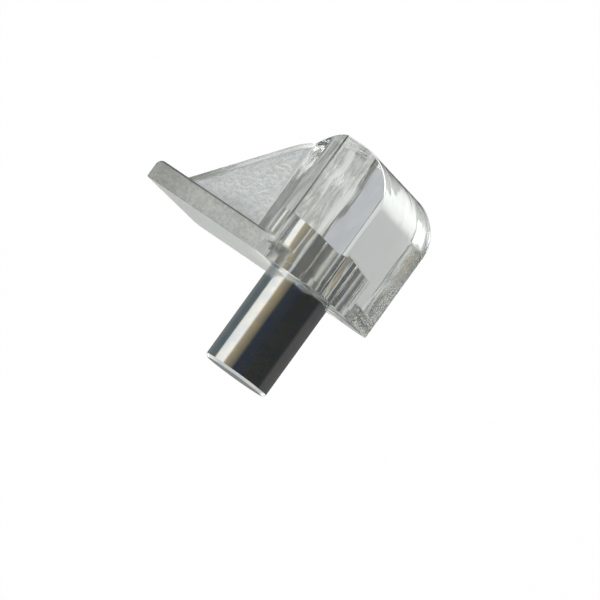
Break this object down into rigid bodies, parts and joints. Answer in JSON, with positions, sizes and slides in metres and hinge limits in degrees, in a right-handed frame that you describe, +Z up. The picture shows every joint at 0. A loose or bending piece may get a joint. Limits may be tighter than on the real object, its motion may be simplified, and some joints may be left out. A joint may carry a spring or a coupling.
{
  "type": "shelf support pin",
  "caption": "Clear plastic shelf support with a steel pin: a thick bearing block on a back plate, braced by a thin web below, and a plain round pin that plugs into the cabinet side.",
  "frame": {"origin": "on the pin's axis, in the back face that lies against the cabinet side", "axes": "+X along the cabinet side, +Y out of it towards the front of the bracket, +Z up out of the bearing face; the pin points along -Y"},
  "size_m": [0.0112, 0.0176, 0.016],
  "materials": {
    "clear_plastic": "clear moulded polycarbonate, polished block, fine grain on the web",
    "plated_steel": "bright plated"
  },
  "bodies": {
    "root": {"bracket": "clear_plastic", "steel_pin": "plated_steel"}
  },
  "joints": []
}
